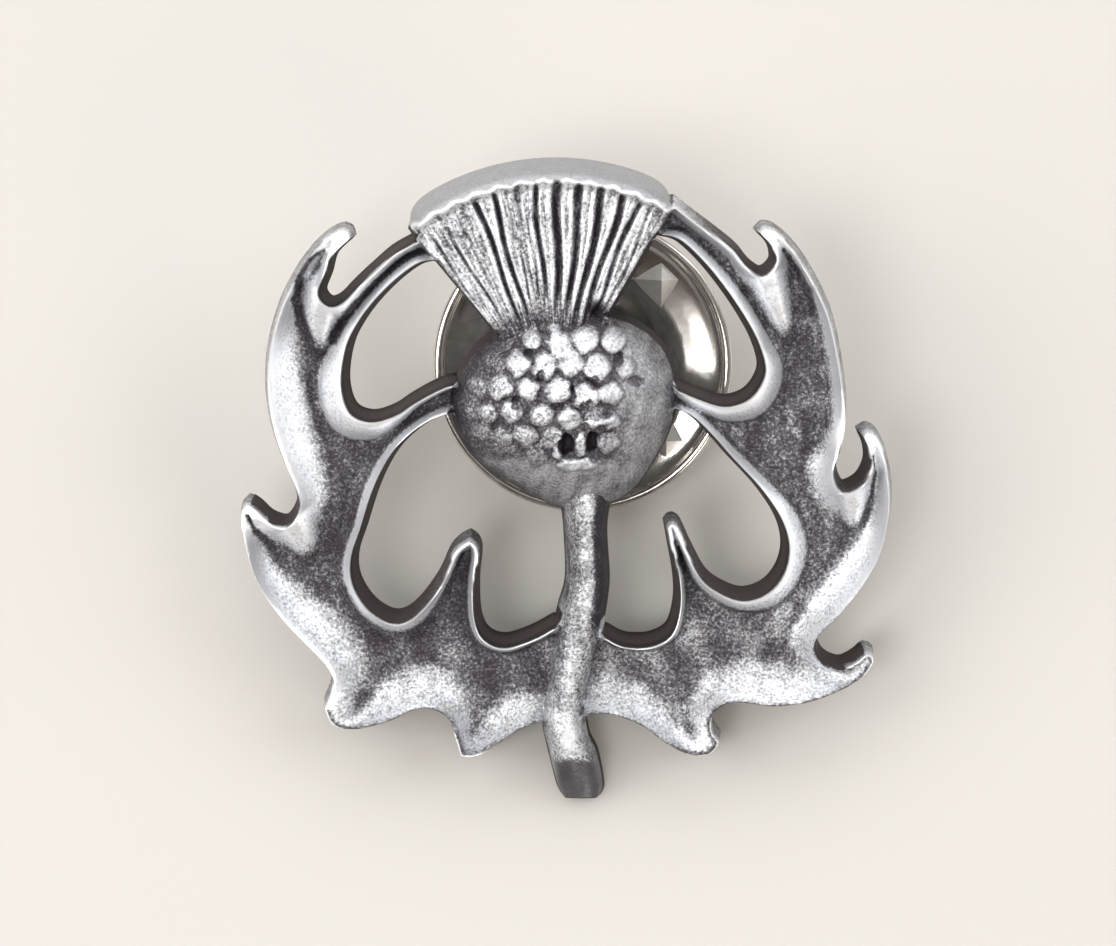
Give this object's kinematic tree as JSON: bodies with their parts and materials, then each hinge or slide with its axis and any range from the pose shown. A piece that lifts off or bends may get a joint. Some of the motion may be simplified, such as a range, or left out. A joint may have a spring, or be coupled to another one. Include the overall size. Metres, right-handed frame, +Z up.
{
  "type": "thistle lapel pin",
  "caption": "Cast thistle lapel pin with a fluted tuft, beaded seed head and two spined leaves, held by a tack post and a butterfly clutch.",
  "frame": {"origin": "centre of the bounding box's foot, on the surface that the pin lies on", "axes": "+Z up; +Y from the stem's end towards the tuft, with the pin lying face up on its stem and the clutch's wings; +X to the right seen from the face"},
  "size_m": [0.0254, 0.0236, 0.0112],
  "materials": {
    "pewter": "antiqued pewter: worn bright on the rims, dark in the valleys",
    "post_steel": "drawn steel",
    "clutch_nickel": "polished nickel plate"
  },
  "bodies": {
    "brooch": {"thistle_casting": "pewter", "tack_post": "post_steel"},
    "clutch": {"clutch_cap": "clutch_nickel", "clutch_housing": "clutch_nickel", "clutch_wings": "clutch_nickel"}
  },
  "joints": [
    {"name": "clutch_pull", "type": "slide", "parent": "brooch", "child": "clutch", "axis": [0, 0.3704, -0.9289], "range_m": [-0.0011, 0.006]}
  ]
}
